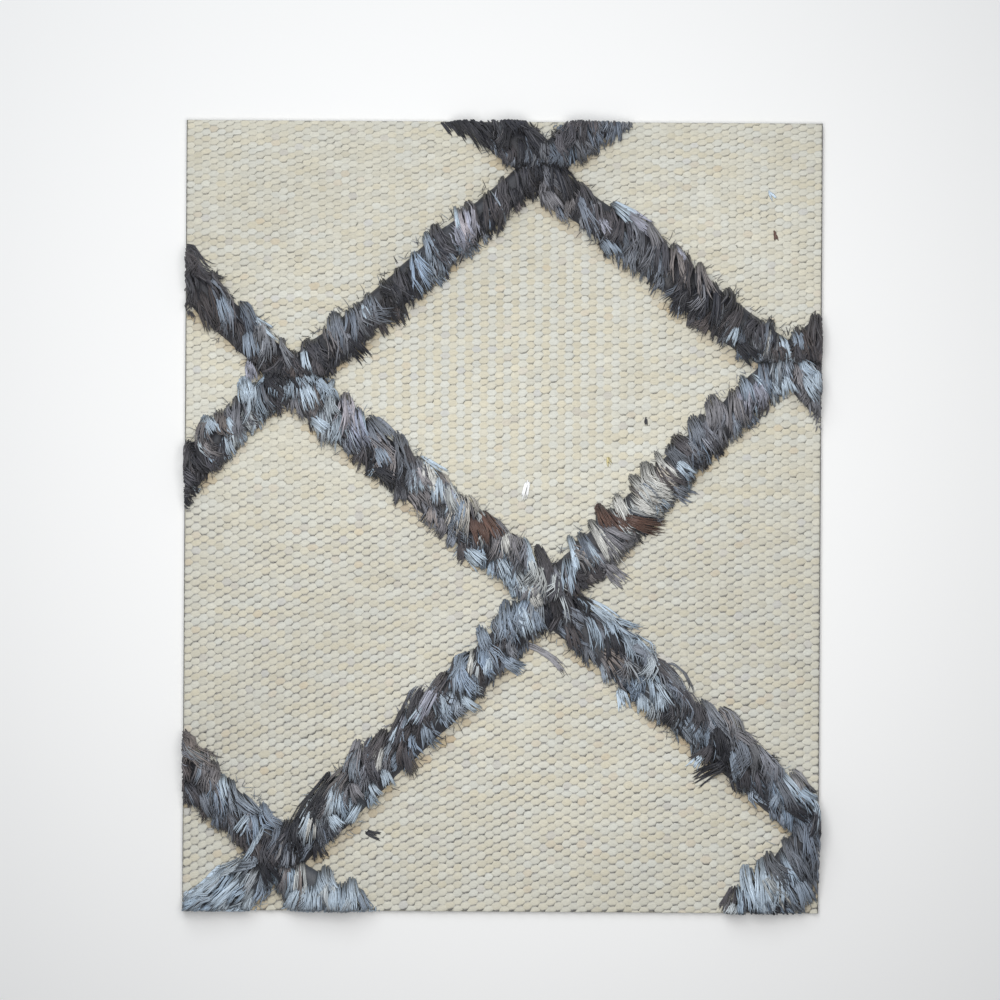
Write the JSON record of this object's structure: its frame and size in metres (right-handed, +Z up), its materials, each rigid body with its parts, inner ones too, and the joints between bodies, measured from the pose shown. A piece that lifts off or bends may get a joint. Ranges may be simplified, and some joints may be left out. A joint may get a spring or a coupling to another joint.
{
  "type": "kilim rug",
  "caption": "Flat cut length of coarse flat-woven wool rug with raised shaggy bands of long dark locks that cross in a diamond trellis.",
  "frame": {"origin": "centre of the underside, on the surface that the rug lies on", "axes": "+X across the width, +Y along the warps, which is the longest side, +Z up out of the face"},
  "size_m": [0.4, 0.497, 0.0155],
  "materials": {
    "ground_wool": "coarse undyed wool, weft-faced flat weave",
    "pile_locks": "long mixed grey and brown wool locks"
  },
  "bodies": {
    "root": {"ground_cloth": "ground_wool", "pile_top_to_left": "pile_locks", "pile_top_to_right": "pile_locks", "pile_left_to_middle": "pile_locks", "pile_right_to_middle": "pile_locks", "pile_middle_to_low_left": "pile_locks", "pile_middle_to_low_right": "pile_locks", "pile_top_to_end_top_left": "pile_locks", "pile_top_to_end_top_right": "pile_locks", "pile_left_to_side_left_high": "pile_locks", "pile_left_to_side_left_low": "pile_locks", "pile_right_to_side_right_high": "pile_locks", "pile_right_to_side_right_low": "pile_locks", "pile_low_left_to_side_corner": "pile_locks", "pile_low_left_to_end_corner": "pile_locks", "pile_low_left_to_end_bottom_left": "pile_locks", "pile_low_right_to_end_bottom_right": "pile_locks"}
  },
  "joints": []
}
